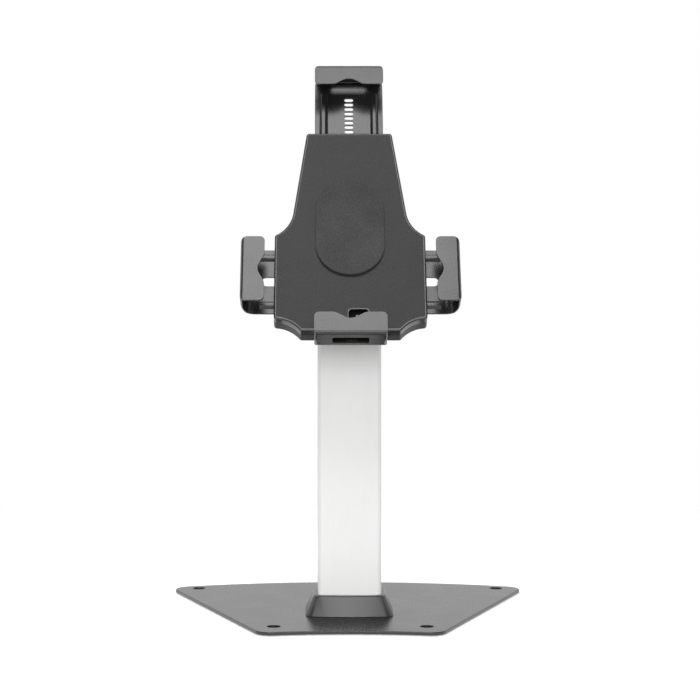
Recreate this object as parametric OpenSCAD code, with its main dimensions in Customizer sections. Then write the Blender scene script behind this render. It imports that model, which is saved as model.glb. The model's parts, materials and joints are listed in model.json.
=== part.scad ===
// Anti-theft tablet desk stand: a steel base plate, a white column, and a tilting
// and turning holder that grips a tablet with one fixed and three sliding claws.
// The origin is on the table, on the axis of the column. The viewer is at -Y.
// The holder is drawn upright with its face on the XZ plane, then leaned back.

/* [Base plate] */
// Thickness of the steel base plate
plate_t = 3; // [2:0.5:5]
// Width across the front corners, before they are rounded
plate_front_w = 162.6; // [152:0.2:200]
// Width across the back corners, before they are rounded
plate_back_w = 359; // [340:1:420]
// Distance from the column's axis forward to the front corners
plate_front = 102; // [90:1:130]
// Distance from the column's axis back to the back corners
plate_back = 127.5; // [110:0.5:160]
// How far the front edge curves inward
plate_front_dip = 8; // [2:1:14]
// How far the back edge bulges outward
plate_back_bulge = 30.7; // [10:0.1:50]
// Radius of the plate's corners
plate_corner_r = 15; // [6:1:20]
// Distance between the two rear desk bolt holes
rear_bolt_w = 301.6; // [280:0.2:310]
// Distance from the column's axis back to the rear desk bolt holes
rear_bolt_y = 121.8; // [110:0.2:128]
// Distance between the two front desk bolt holes
front_bolt_w = 139; // [110:1:145]
// Distance from the column's axis forward to the front desk bolt holes
front_bolt_y = 73.6; // [60:0.2:80]
// Diameter of the desk bolt holes
bolt_hole_d = 6.5; // [4:0.5:9]
// Diameter of the stepped seats for the heads of the desk bolts
bolt_sink_d = 12.5; // [10:0.5:16]
// Depth of the stepped seats for the heads of the desk bolts
bolt_sink_h = 1.8; // [1:0.1:1.9]
// Thickness of the anti-slip mat under the plate
mat_t = 1; // [0.8:0.1:3]
// How far the mat stays inside the plate's edge
mat_inset = 5; // [3:0.5:10]

/* [Column] */
// Width of the column
col_w = 60; // [54:1:80]
// Depth of the column at its middle
col_d = 45; // [42:1:60]
// How much the front and back faces of the column bulge
col_bulge = 2; // [1:0.5:4]
// Radius of the column's upright edges
col_corner_r = 8; // [5:0.5:10]
// Wall of the column
col_wall = 2.5; // [2:0.5:4]
// Height of the column's top end above the table
col_top = 310; // [260:5:420]
// Outer diameter of the four screw channels inside the column
channel_d = 8; // [6.5:0.5:9]
// How deep each column screw reaches into the column
col_screw_l = 14; // [8:1:40]
// Diameter of the four column screws
col_screw_d = 3.4; // [3:0.2:4.2]
// Distance from the column's middle sideways to a screw channel
channel_x = 22.5; // [21.5:0.5:23]
// Distance from the column's middle forward or back to a screw channel
channel_y = 13; // [12:0.5:13.5]

/* [Foot shroud] */
// Height of the shroud around the column's foot
shroud_h = 19; // [12:1:40]
// Width of the shroud at its top
shroud_top_w = 67; // [66:1:70]
// Depth of the shroud at its top
shroud_top_d = 54; // [53:1:58]
// Width of the shroud at its bottom
shroud_bottom_w = 82.5; // [74:0.5:100]
// Depth of the shroud at its bottom
shroud_bottom_d = 64; // [60:1:80]
// Wall of the shroud
shroud_wall = 2; // [1.5:0.5:2]

/* [Tilt head] */
// Angle that the holder leans back from upright
rest_tilt = 28.2; // [0:0.1:60]
// Height of the tilt pivot above the yoke's foot
pivot_rise = 25.8; // [24:0.2:40]
// Distance from the pivot forward to the bracket's plate
lug_reach = 27; // [25:0.5:40]
// Thickness of the yoke's foot
yoke_foot_t = 4; // [3:0.5:5]
// Thickness of each upright ear of the yoke
ear_t = 5; // [4:0.5:7]
// Radius of the round ends of the ears and the lugs
ear_r = 10; // [8:0.5:11]
// Clear width between the two lugs of the tilt bracket
lug_gap = 20; // [18:0.5:21]
// Thickness of each lug
lug_t = 4; // [3:0.5:5]
// Thickness of the tilt bracket's plate
bracket_t = 4; // [3:0.5:6]
// Width and height of the tilt bracket's plate
bracket_w = 44; // [38:1:48]
// Diameter of the pivot bolt and of the rotation bolt
bolt_d = 8; // [6:1:8]
// Thickness of a friction washer
washer_t = 1; // [0.5:0.1:2]
// Radial clearance of a bolt in the hole that turns on it
run_gap = 0.05; // [0.02:0.01:0.1]
// Diameter of the rotation disc
disc_d = 56; // [54:1:62]
// Thickness of the rotation disc
disc_t = 3; // [2.5:0.5:5]
// Distance from the disc's middle to each of its screws, sideways and upward
disc_screw_off = 15; // [14:0.5:16]

/* [Holder body] */
// Free depth behind the arms inside the holder's body
back_space = 3.5; // [2:0.5:10]
// Wall of the holder's body
wall = 2.5; // [2:0.1:2.8]
// Height of the body's top edge above the middle of the face
face_top = 103.4; // [98:0.2:108]
// Depth of the body's bottom edge below the middle of the face
face_bottom = 105.3; // [104:0.1:107]
// Width of the body's head at its top edge
head_w = 80.4; // [79:0.2:90]
// Width of the body where the flared head ends
neck_w = 104.8; // [102:0.2:112]
// Height above the middle of the face at which the flared head ends
neck_v = 16; // [12:0.5:24]
// Radius of the hollow shoulders under the neck
shoulder_r = 31.5; // [28:0.5:40]
// Full width of the body
hips_w = 138.4; // [135:0.2:142]
// Depth below the middle of the face at which the straight sides end
hips_v = 93; // [92:0.5:96]
// Width of the body's straight bottom edge
foot_w = 90; // [84:1:96]
// Radius of the hollow corners at the bottom
foot_r = 31.5; // [28:0.5:40]
// Radius of the body's small corners
body_corner_r = 3; // [1:0.5:3]
// Width of the foam pad
pad_w = 63; // [40:1:80]
// Height of the foam pad
pad_h = 99.5; // [84:0.5:130]
// Thickness of the foam pad
pad_t = 3.5; // [1:0.5:5]
// Sideways offset of the window and of the hole behind it
window_u = 7.3; // [-10:0.1:10]
// Width of the window
window_w = 18; // [12:1:24]
// Height of the window
window_h = 14; // [10:1:15]
// Depth below the middle of the face of the window's middle
window_v = 90.8; // [90:0.1:92]
// Radius of the window's corners
window_r = 3; // [1:0.5:4]

/* [Arms] */
// Width of every arm and claw
arm_w = 65.4; // [63:0.2:67]
// Thickness of the steel of the arms and claws
arm_t = 2; // [1.5:0.25:2.25]
// Depth of the sliding arms' front face behind the holder's face
arm_depth = 13; // [12.5:0.1:13]
// Depth of the bottom arm's front face behind the holder's face
bottom_arm_depth = 10; // [9.9:0.05:10.2]
// Distance from an arm's middle line to the near side of its rib
rib_in = 22.4; // [21:0.2:23]
// Width of a rib's flat top
rib_w = 4; // [3.6:0.2:5]
// Sideways run of a rib's slope
rib_slope = 1.7; // [1.2:0.1:2.5]
// Height of a rib
rib_h = 3; // [1.5:0.5:3]
// How far from the claw's outer face a rib ends
rib_setback = 17; // [15:1:26]
// How far a lip's front face stands ahead of the holder's face
claw_reach = 14; // [10:0.5:24]
// Height of the lip that hooks over the tablet
lip_h = 21.7; // [14:0.1:26]
// Radius of the corners of the lips' free edges, seen from the front
lip_corner_r = 4.5; // [1:0.5:7]
// Radius of the outer corners of the sliding claws, seen from the front
claw_corner_r = 6; // [2:0.5:7]
// Radius of the outer corners of the bottom claw, seen from the front
bottom_corner_r = 3; // [1:0.5:6]
// Outer radius of the bend between a claw's wall and its lip
lip_bend_r = 3; // [2.5:0.5:6]
// Outer radius of the bend between a side arm and its claw's wall
arm_bend_r = 14; // [6:0.5:14]
// Outer radius of the bend between the bottom arm and its claw's wall
bottom_bend_r = 3; // [2.5:0.5:6]
// Width of the dip in the middle of each lip
dip_w = 33; // [20:1:44]
// Depth of the dip in the middle of each lip
dip_h = 6.1; // [2:0.1:9]
// Thickness of the soft lining inside each claw
lining_t = 1.5; // [1:0.5:3]
// Length of the soft lining inside each claw
lining_w = 56; // [40:1:56]
// Clearance beside and behind a sliding arm
slide_gap = 0.3; // [0.2:0.05:0.5]

/* [Top arm and lock] */
// Outer radius of the bend between the top arm and its claw's wall
top_bend_r = 3; // [2.5:0.5:12]
// How far the middle of the top claw's cable slot stands ahead of the holder's face
top_slot_reach = 3.5; // [1:0.5:4.5]
// Distance between neighbouring slots of the ladder
ladder_pitch = 5.15; // [4.9:0.05:5.5]
// Number of slots in the ladder
ladder_count = 19; // [16:1:19]
// Slot that lies over the lock at rest, counted down from zero at the top
lock_slot = 13; // [10:1:13]
// Width of a ladder slot
ladder_slot_w = 8.7; // [7.5:0.1:10]
// Height of a ladder slot
ladder_slot_h = 4.1; // [3.3:0.1:4.2]
// Distance from the claw's outer face to the top slot
ladder_setback = 22.6; // [21:0.1:26]
// Distance from the bottom slot to the arm's lower end
ladder_tail = 11; // [8:0.5:12]
// Height of the lock above the middle of the face
lock_v = 82.65; // [80:0.05:84]
// Diameter of the lock's barrel
lock_d = 18; // [17:0.5:20]
// Diameter of the lock's collar
lock_collar_d = 23; // [22:0.5:26]
// How far the lock's collar stands behind the body
lock_collar_h = 6; // [5:0.5:7]
// Diameter of the plunger
plunger_d = 14; // [12:0.5:14]
// Diameter of the plunger's stem
stem_d = 9.2; // [9:0.1:9.6]
// Travel of the plunger
lock_travel = 3.2; // [2.8:0.1:3.2]
// Diameter of the key core
core_d = 8; // [7:0.5:9]
// Length of the key core
core_l = 7; // [5:0.5:7]

/* [Side arms] */
// Distance from the holder's middle to a side claw's outer face
side_out = 99.5; // [92:0.5:110]
// Distance from the holder's middle to a side arm's inner end
side_in = 24; // [22:0.5:28]
// Depth of the side arms' middle line below the middle of the face
side_v = 49; // [48.6:0.1:49.4]
// Width of the long slot in a side arm
long_slot_w = 9.4; // [7:0.2:12]
// Distance from a side claw's outer face to the end of its long slot
long_slot_setback = 18.4; // [16:0.2:24]
// Distance from a side arm's inner end to its long slot
long_slot_margin = 8; // [5:0.5:10]
// Distance from the body's side to a clamp screw
clamp_edge = 13.7; // [12.2:0.5:16.2]
// Diameter of a clamp screw
clamp_screw_d = 5; // [4:0.5:6]
// Length of a clamp's nut bar
nut_bar_l = 18; // [14:1:20]
// Height of a clamp's nut bar
nut_bar_h = 14; // [10:1:16]
// Thickness of a clamp's nut bar
nut_bar_t = 4; // [3:0.5:6]

/* [Bottom arm] */
// Depth of the bottom claw's outer face below the middle of the face
bottom_out = 115; // [113:0.5:118]
// Width of the cable slots in the bottom and top claws
cable_slot_w = 33; // [20:1:44]
// Depth of the cable slots in the bottom and top claws
cable_slot_d = 10.6; // [7:0.2:12]
// Diameter of the hole behind the window
tie_hole_d = 5.2; // [3:0.2:7]
// Depth of that hole below the middle of the face
tie_hole_v = 86; // [85:0.2:88]
// Diameter of the hole through the body's back
back_hole_d = 4.6; // [3:0.2:5]
// Depth of the hole through the body's back below the middle of the face
back_hole_v = 81.4; // [80:0.2:84]
// Distance from the middle to a screw of the bottom arm
bottom_screw_u = 24; // [20:0.5:27]
// Depth of the bottom arm's screws below the middle of the face
bottom_screw_v = 91; // [89:0.5:94]
// Diameter of the small body screws
body_screw_d = 3; // [2.5:0.1:3.2]
// Outer diameter of the screw posts inside the body
post_d = 8; // [7:0.5:8]

/* [Hidden] */
$fn = 64;

// Small amount by which a cutter runs past the face that it cuts
cut = 1;
// Clearance between a fixed screw and its hole
screw_gap = 0.05;
// Clearance of a through hole around a screw's shank
pass_gap = 0.3;
// Clearance around the column in the shroud's top
fit_gap = 0.2;
// Clearance in front of the ribs
rib_gap = 0.4;
// Rails that the arms slide on: width, length, distance from the arm's middle line,
// and distance from the body's edge
rail_w = 2;
rail_l = 44;
rail_off = 14;
rail_end = 2;
// Length of the guides beside the top arm
guide_l = 60;

plate_top = mat_t + plate_t;
shroud_top = plate_top + shroud_h;
yoke_top = col_top + yoke_foot_t;
pivot_z = yoke_top + pivot_rise;
bolt_r = bolt_d / 2;
ear_in = lug_gap / 2 + lug_t + washer_t;
ear_out = ear_in + ear_t;

// Depths behind the holder's face, from the arms back to the pivot
arm_back = arm_depth + arm_t;
body_d = arm_back + back_space + wall;
cover_d = arm_depth - rib_h - rib_gap;
rail_depth = arm_back + slide_gap;
disc_back = body_d + disc_t;
bracket_front = disc_back + washer_t;
bracket_back = bracket_front + bracket_t;
pivot_back = bracket_back + lug_reach;
nut_h = 6.5;
nut_r = 7.5;
disc_head_h = 1.6;
foot_head_h = 1.8;
foot_head_r = col_screw_d / 2 + foot_head_h;
yoke_head_h = 2.4;
bolt_head_h = 5;
bolt_head_rim = 2.8;
bolt_tail = 1.5;

// Heights and lengths of the arms
ladder_top = lock_v + lock_slot * ladder_pitch;
top_out = ladder_top + ladder_setback;
top_in = ladder_top - (ladder_count - 1) * ladder_pitch - ladder_tail;
half_arm = arm_w / 2;
rib_out = rib_in + rib_w;
rib_shift = arm_t * tan(atan2(rib_h, rib_slope) / 2);
bottom_in = side_v + rib_out + rib_slope + 1.1;
lining_depth = 9;

// Lock depths behind the holder's face
lock_nut_t = back_space - 1.2;
lock_nut_rim = 3;
barrel_front = arm_back + 0.6;
barrel_floor_t = 2;
barrel_floor = barrel_front + barrel_floor_t;
tooth_tip = arm_back + slide_gap;
stem_front = barrel_front + lock_travel - 0.1;
spring_t = 1;
head_front = barrel_floor + spring_t + 0.2 + lock_travel;
collar_back = body_d + lock_collar_h;
plunger_back = collar_back + lock_travel + 0.4;
core_front = plunger_back - core_l;

// Screw places in the body: sideways, and above the middle of the face
clamp_u = hips_w / 2 - clamp_edge;
post_clear = 1.1;
post_edge = 11.2;
top_post = [half_arm + post_d / 2 + post_clear, 70];
mid_post = [hips_w / 2 - post_edge, half_arm - side_v + post_d / 2 + 1.8];
low_post = [50, -90];
POSTS = [top_post, mid_post, low_post];
DISC_SCREWS = [for (x = [-1, 1], z = [-1, 1]) [x * disc_screw_off, z * disc_screw_off]];
CHANNELS = [for (x = [-1, 1], y = [-1, 1]) [x * channel_x, y * channel_y]];

// Points along an arc
function arc(c, r, a0, a1, n) =
    [for (i = [0:n]) c + r * [cos(a0 + (a1 - a0) * i / n), sin(a0 + (a1 - a0) * i / n)]];
// Those points that lie farther than a distance from a corner
function clear_of(pts, corner, d) = [for (p = pts) if (norm(p - corner) > d) p];
function unit(v) = v / norm(v);
function last(pts) = pts[len(pts) - 1];
function cross2(u, v) = u[0] * v[1] - u[1] * v[0];
// The arc that rounds a corner between the points before and after it
function rounded(before, corner, after, r, n = 6) =
    let (u = unit(before - corner))
    let (v = unit(after - corner))
    let (half = acos(u * v) / 2)
    let (c = corner + unit(u + v) * r / sin(half))
    let (start = corner + u * r / tan(half) - c)
    let (turn = (180 - 2 * half) * (cross2(u, v) > 0 ? -1 : 1))
    let (a0 = atan2(start[1], start[0]))
    arc(c, r, a0, a0 + turn, n);
function mirrored(pts) =
    concat(pts, [for (i = [len(pts) - 1:-1:0]) if (pts[i][0] > 0.001) [-pts[i][0], pts[i][1]]]);

// Right half of the base plate, from the middle of the back edge to the front edge
function plate_half() =
    let (wb = plate_back_w / 2)
    let (wf = plate_front_w / 2)
    let (rb = (wb * wb + plate_back_bulge * plate_back_bulge) / (2 * plate_back_bulge))
    let (rf = (wf * wf + plate_front_dip * plate_front_dip) / (2 * plate_front_dip))
    let (pb = [wb, plate_back])
    let (pf = [wf, -plate_front])
    let (back = arc([0, plate_back + plate_back_bulge - rb], rb, 90, 90 - asin(wb / rb), 30))
    let (front = arc([0, -plate_front + plate_front_dip - rf], rf, 90 - asin(wf / rf), 90, 16))
    let (back_kept = clear_of(back, pb, 1.3 * plate_corner_r))
    let (front_kept = clear_of(front, pf, plate_corner_r))
    concat(back_kept, rounded(last(back_kept), pb, pf, plate_corner_r),
           rounded(pb, pf, front_kept[0], plate_corner_r), front_kept);

// Right half of the holder's outline, drawn in by d, from the top to the bottom
function body_half(d) =
    let (flare = atan2((neck_w - head_w) / 2, face_top - neck_v))
    let (out = [cos(flare), sin(flare)])
    let (neck = [neck_w / 2, neck_v])
    let (top = face_top - d)
    let (side = hips_w / 2 - d)
    let (bottom = -face_bottom + d)
    let (r = max(0.4, body_corner_r - d))
    let (p_top = [(neck * out - d - top * out[1]) / out[0], top])
    let (cs = neck + shoulder_r * out)
    let (shoulder = arc(cs, shoulder_r + d, 180 + flare,
                        180 + acos((cs[0] - side) / (shoulder_r + d)), 14))
    let (p_hip = last(shoulder))
    let (a = [hips_w / 2, -hips_v])
    let (b = [foot_w / 2, -face_bottom])
    let (chord = a - b)
    let (ahead = sqrt(foot_r * foot_r - chord * chord / 4))
    let (cf = (a + b) / 2 + ahead * unit([chord[1], -chord[0]]))
    let (rf = foot_r + d)
    let (foot = arc(cf, rf, 180 - acos((cf[0] - side) / rf), 180 - asin((bottom - cf[1]) / rf), 14))
    let (p_low = foot[0])
    let (p_foot = last(foot))
    let (shoulder_kept = clear_of(shoulder, p_hip, r))
    let (foot_kept = clear_of(clear_of(foot, p_low, 1.4 * r), p_foot, r))
    concat([[0, top]], rounded([0, top], p_top, shoulder[0], r), shoulder_kept,
           rounded(last(shoulder_kept), p_hip, p_low, r),
           rounded(p_hip, p_low, foot_kept[0], r), foot_kept,
           rounded(last(foot_kept), p_foot, [0, bottom], r), [[0, bottom]]);

// Extrudes a drawing of the face plane from one depth to another
module deep(front, back) {
    translate([0, back, 0])
        rotate([90, 0, 0])
            linear_extrude(back - front)
                children();
}

// A round pin or hole that runs straight back between two depths
module deep_round(r, front, back, r_back = 0) {
    translate([0, back, 0])
        rotate([90, 0, 0])
            cylinder(h = back - front, r1 = r_back > 0 ? r_back : r, r2 = r);
}

// A slot with round ends, long side across
module slot2d(l, w) {
    square([l - w, w], center = true);
    for (x = [-1, 1])
        translate([x * (l - w) / 2, 0])
            circle(d = w);
}

// A rectangle with round corners
module round_rect(w, h, r) {
    square([w - 2 * r, h], center = true);
    square([w, h - 2 * r], center = true);
    for (x = [-1, 1], y = [-1, 1])
        translate([x * (w / 2 - r), y * (h / 2 - r)])
            circle(r);
}

// A rounded rectangle whose front and back edges bulge like a barrel
module barrel2d(w, d, bulge, r, fine) {
    big = ((w / 2) * (w / 2) + bulge * bulge) / (2 * bulge);
    intersection() {
        round_rect(w, d, r);
        translate([0, big - d / 2])
            circle(big, $fn = fine);
        translate([0, d / 2 - big])
            circle(big, $fn = fine);
    }
}

module column2d(grow) {
    barrel2d(col_w + 2 * grow, col_d + 2 * grow, col_bulge, col_corner_r + grow, 360);
}

// Lifts the holder from its drawing place to the leaned-back rest position
module in_head() {
    translate([0, 0, pivot_z])
        rotate([-rest_tilt, 0, 0])
            translate([0, -pivot_back, 0])
                children();
}

module base_mat() {
    color("#1c1c1d")
        difference() {
            linear_extrude(mat_t)
                offset(delta = -mat_inset)
                    polygon(mirrored(plate_half()));
            desk_holes(bolt_sink_d / 2, -cut, mat_t + cut);
        }
}

// The four desk bolt holes between two heights
module desk_holes(r, low, high) {
    for (x = [-1, 1]) {
        translate([x * rear_bolt_w / 2, rear_bolt_y, low])
            cylinder(h = high - low, r = r);
        translate([x * front_bolt_w / 2, -front_bolt_y, low])
            cylinder(h = high - low, r = r);
    }
}

module base_plate() {
    color("#2b2b2d")
        difference() {
            translate([0, 0, mat_t])
                linear_extrude(plate_t)
                    polygon(mirrored(plate_half()));
            desk_holes(bolt_hole_d / 2, 0, plate_top + cut);
            for (x = [-1, 1], p = [[rear_bolt_w / 2, rear_bolt_y], [front_bolt_w / 2, -front_bolt_y]])
                translate([x * p[0], p[1], plate_top - bolt_sink_h])
                    cylinder(h = bolt_sink_h + cut, d = bolt_sink_d);
            for (p = CHANNELS)
                translate([p[0], p[1], mat_t]) {
                    cylinder(h = plate_t, r = col_screw_d / 2 + screw_gap);
                    cylinder(h = foot_head_h, r1 = foot_head_r + screw_gap, r2 = col_screw_d / 2 + screw_gap);
                }
        }
}

module column() {
    color("#f4f4f2")
        translate([0, 0, plate_top])
            linear_extrude(col_top - plate_top)
                difference() {
                    union() {
                        difference() {
                            column2d(0);
                            column2d(-col_wall);
                        }
                        intersection() {
                            column2d(-col_wall / 2);
                            for (p = CHANNELS)
                                translate(p) {
                                    circle(d = channel_d);
                                    translate([0, p[1] > 0 ? channel_d / 2 : -channel_d / 2])
                                        square(channel_d, center = true);
                                }
                        }
                    }
                    for (p = CHANNELS)
                        translate(p)
                            circle(d = col_screw_d + 2 * screw_gap);
                }
}

module column_foot_screws() {
    color("#8b8b8d")
        for (p = CHANNELS)
            translate([p[0], p[1], mat_t]) {
                cylinder(h = plate_t + col_screw_l, d = col_screw_d);
                cylinder(h = foot_head_h, r1 = foot_head_r, r2 = col_screw_d / 2);
            }
}

// The tapered block of the shroud, drawn in by a wall
module shroud_block(inset, low, high) {
    hull() {
        translate([0, 0, low])
            linear_extrude(0.5)
                barrel2d(shroud_bottom_w - 2 * inset, shroud_bottom_d - 2 * inset, 4, 12, 120, $fn = 32);
        translate([0, 0, high - 0.5])
            linear_extrude(0.5)
                barrel2d(shroud_top_w - 2 * inset, shroud_top_d - 2 * inset, 2.4, 10, 120, $fn = 32);
    }
}

module foot_shroud() {
    color("#1f1f20")
        difference() {
            shroud_block(0, plate_top, shroud_top);
            difference() {
                shroud_block(shroud_wall, plate_top, shroud_top);
                translate([0, 0, shroud_top - shroud_wall])
                    linear_extrude(shroud_wall + cut)
                        square([shroud_bottom_w, shroud_bottom_d], center = true);
            }
            translate([0, 0, plate_top - cut])
                linear_extrude(shroud_h + 2 * cut)
                    column2d(fit_gap);
        }
}

// A plate with a round end about the pivot, standing or lying, across a range of x
module ear(x0, x1, reach) {
    translate([x0, 0, 0])
        rotate([90, 0, 90])
            linear_extrude(x1 - x0)
                difference() {
                    union() {
                        circle(ear_r);
                        translate([-ear_r, -reach])
                            square([2 * ear_r, reach]);
                    }
                    circle(bolt_r + run_gap);
                }
}

module tilt_yoke() {
    color("#2b2b2d")
        difference() {
            union() {
                translate([0, 0, col_top])
                    linear_extrude(yoke_foot_t)
                        column2d(0);
                translate([0, 0, pivot_z]) {
                    ear(ear_in, ear_out, pivot_rise);
                    ear(-ear_out, -ear_in, pivot_rise);
                }
            }
            for (p = CHANNELS)
                translate([p[0], p[1], col_top - cut])
                    cylinder(h = yoke_foot_t + 2 * cut, d = col_screw_d + 2 * pass_gap);
        }
}

module yoke_screws() {
    color("#8b8b8d")
        for (p = CHANNELS) {
            translate([p[0], p[1], col_top - col_screw_l])
                cylinder(h = yoke_foot_t + col_screw_l, d = col_screw_d);
            translate([p[0], p[1], yoke_top])
                difference() {
                    cylinder(h = yoke_head_h, d = 2 * col_screw_d - 0.4);
                    translate([0, 0, yoke_head_h / 2])
                        cylinder(h = yoke_head_h, d = 0.8 * col_screw_d, $fn = 6);
                }
        }
}

// A round bar along X, about the pivot, between two places
module across(x0, x1, r, sides = 64) {
    translate([x0, 0, pivot_z])
        rotate([0, 90, 0])
            cylinder(h = x1 - x0, r = r, $fn = sides);
}

module pivot_bolt() {
    color("#3a3a3c")
        difference() {
            union() {
                across(-ear_out - nut_h - bolt_tail, ear_out, bolt_r);
                across(ear_out, ear_out + bolt_head_h, bolt_r + bolt_head_rim);
            }
            across(ear_out + 0.4 * bolt_head_h, ear_out + bolt_head_h + cut, bolt_r * 0.55, 6);
        }
}

module pivot_nut() {
    color("#8b8b8d")
        difference() {
            across(-ear_out - nut_h, -ear_out, nut_r, 6);
            across(-ear_out - nut_h - cut, -ear_out + cut, bolt_r + screw_gap);
        }
}

module pivot_washers() {
    color("#c8c8c4")
        for (x = [-ear_in, ear_in - washer_t])
            difference() {
                across(x, x + washer_t, ear_r - 0.5);
                across(x - cut, x + washer_t + cut, bolt_r + screw_gap);
            }
}

module tilt_bracket() {
    color("#2b2b2d")
        in_head()
            difference() {
                union() {
                    deep(bracket_front, bracket_back)
                        round_rect(bracket_w, bracket_w, 5);
                    for (x = [-1, 1])
                        translate([x * (lug_gap + lug_t) / 2, 0, 0])
                            rotate([90, 0, 90])
                                linear_extrude(lug_t, center = true) {
                                    translate([pivot_back, 0])
                                        circle(ear_r);
                                    translate([bracket_back - 0.5, -ear_r])
                                        square([lug_reach + 0.5, 2 * ear_r]);
                                }
                }
                deep_round(bolt_r + run_gap, bracket_front - cut, bracket_back + cut);
                translate([-lug_gap, pivot_back, 0])
                    rotate([0, 90, 0])
                        cylinder(h = 2 * lug_gap, r = bolt_r + run_gap);
            }
}

module pivot_spacer() {
    color("#8b8b8d")
        difference() {
            across(-lug_gap / 2, lug_gap / 2, bolt_r + 2.5);
            across(-lug_gap / 2 - cut, lug_gap / 2 + cut, bolt_r + 3 * run_gap);
        }
}

module rotation_washers() {
    color("#c8c8c4")
        in_head() {
            ring(bracket_w / 2 - 3, bolt_r + screw_gap, disc_back, bracket_front);
            ring(nut_r + 1, bolt_r + screw_gap, bracket_back, bracket_back + washer_t);
        }
}

// A flat ring between two depths
module ring(r_out, r_in, front, back) {
    difference() {
        deep_round(r_out, front, back);
        deep_round(r_in, front - cut, back + cut);
    }
}

module rotation_disc() {
    color("#3a3a3c")
        in_head()
            difference() {
                deep_round(disc_d / 2, body_d, disc_back);
                deep_round(bolt_r + screw_gap, body_d - cut, disc_back + cut);
                for (p = DISC_SCREWS)
                    translate([p[0], 0, p[1]]) {
                        deep_round(body_screw_d / 2 + screw_gap, body_d - cut, disc_back + cut);
                        deep_round(body_screw_d / 2 + screw_gap, disc_back - disc_head_h, disc_back,
                                   body_screw_d / 2 + disc_head_h + screw_gap);
                    }
            }
}

module disc_screws() {
    color("#8b8b8d")
        in_head()
            for (p = DISC_SCREWS)
                translate([p[0], 0, p[1]]) {
                    deep_round(body_screw_d / 2, rail_depth + 0.7, disc_back);
                    deep_round(body_screw_d / 2, disc_back - disc_head_h, disc_back,
                               body_screw_d / 2 + disc_head_h);
                }
}

module rotation_bolt() {
    color("#3a3a3c")
        in_head() {
            deep_round(bolt_r, body_d, bracket_back + washer_t + nut_h + bolt_tail);
            deep_round(2 * bolt_r, body_d - wall, body_d);
        }
}

module rotation_nut() {
    color("#8b8b8d")
        in_head()
            difference() {
                translate([0, bracket_back + washer_t + nut_h, 0])
                    rotate([90, 0, 0])
                        cylinder(h = nut_h, r = nut_r, $fn = 6);
                deep_round(bolt_r + screw_gap, bracket_back, bracket_back + washer_t + nut_h + cut);
            }
}

module body2d(d) {
    polygon(mirrored(body_half(d)));
}

// Walls that keep the arms straight, seen from the front
module guides2d() {
    guide_in = half_arm + slide_gap;
    for (x = [-1, 1]) {
        // beside the top arm
        translate([x * (guide_in + wall / 2), face_top - guide_l / 2])
            square([wall, guide_l], center = true);
        // above and below each side arm
        for (z = [-side_v + guide_in, -side_v - guide_in - wall])
            translate([x > 0 ? half_arm + rail_w : -hips_w / 2, z])
                square([hips_w / 2 - half_arm - rail_w, wall]);
    }
}

// Narrow rails that the top arm slides on, seen from the front
module top_rails2d() {
    for (x = [-1, 1])
        translate([x * rail_off, face_top - rail_end - rail_l / 2])
            square([rail_w, rail_l], center = true);
}

// Narrow rails that the side arms slide on, seen from the front
module side_rails2d() {
    for (x = [-1, 1], z = [-1, 1])
        translate([x * (hips_w / 2 - rail_end - rail_l / 2), -side_v + z * rail_off])
            square([rail_l, rail_w], center = true);
}

// Openings in the shell's rim through which the arms pass
module arm_gates() {
    gate = half_arm + slide_gap;
    deep(cover_d - cut, rail_depth)
        translate([-gate, face_top - wall - cut])
            square([2 * gate, wall + 2 * cut]);
    for (x = [-hips_w / 2 - cut, hips_w / 2 - wall - cut])
        deep(cover_d - cut, rail_depth)
            translate([x, -side_v - gate])
                square([wall + 2 * cut, 2 * gate]);
    deep(cover_d - cut, bottom_arm_depth + arm_t + slide_gap)
        translate([-gate, -face_bottom - cut])
            square([2 * gate, wall + 2 * cut]);
}

module at_posts() {
    for (x = [-1, 1], p = POSTS)
        translate([x * p[0], 0, p[1]])
            children();
}

module rear_shell() {
    color("#262627")
        in_head()
            difference() {
                union() {
                    difference() {
                        deep(cover_d, body_d)
                            body2d(0);
                        deep(cover_d - cut, body_d - wall)
                            body2d(wall);
                    }
                    // guides, rails and screw posts, kept inside the outline
                    intersection() {
                        deep(0, body_d - wall / 2)
                            body2d(wall / 2);
                        union() {
                            deep(cover_d, body_d - wall / 2)
                                guides2d();
                            deep(rail_depth, body_d - wall / 2) {
                                top_rails2d();
                                side_rails2d();
                            }
                            at_posts()
                                deep_round(post_d / 2, cover_d, body_d - wall / 2);
                        }
                    }
                    for (p = DISC_SCREWS)
                        translate([p[0], 0, p[1]])
                            deep_round(post_d / 2, rail_depth, body_d - wall / 2);
                    for (x = [-1, 1])
                        translate([x * bottom_screw_u, 0, -bottom_screw_v])
                            deep_round(post_d / 2, bottom_arm_depth + arm_t, body_d - wall / 2);
                }
                arm_gates();
                at_posts() {
                    deep_round(body_screw_d / 2 + screw_gap, cover_d - cut, body_d + cut);
                    deep_round(body_screw_d / 2 + 1.4, body_d - 2, body_d + cut);
                }
                for (p = DISC_SCREWS)
                    translate([p[0], 0, p[1]])
                        deep_round(body_screw_d / 2 + screw_gap, rail_depth + 0.5, body_d + cut);
                for (x = [-1, 1]) {
                    translate([x * bottom_screw_u, 0, -bottom_screw_v])
                        deep_round(body_screw_d / 2 + screw_gap, bottom_arm_depth, body_d - wall / 2);
                    translate([x * clamp_u, 0, -side_v])
                        deep_round(clamp_screw_d / 2 + pass_gap, rail_depth, body_d + cut);
                }
                // seat of the rotation bolt's head
                deep_round(2 * bolt_r + pass_gap, rail_depth, body_d + cut);
                // seat of the lock
                translate([0, 0, lock_v])
                    deep_round(lock_d / 2 + screw_gap, rail_depth, body_d + cut);
                // hole in line with the window
                translate([window_u, 0, -back_hole_v])
                    deep_round(back_hole_d / 2, rail_depth, body_d + cut);
            }
}

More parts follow.
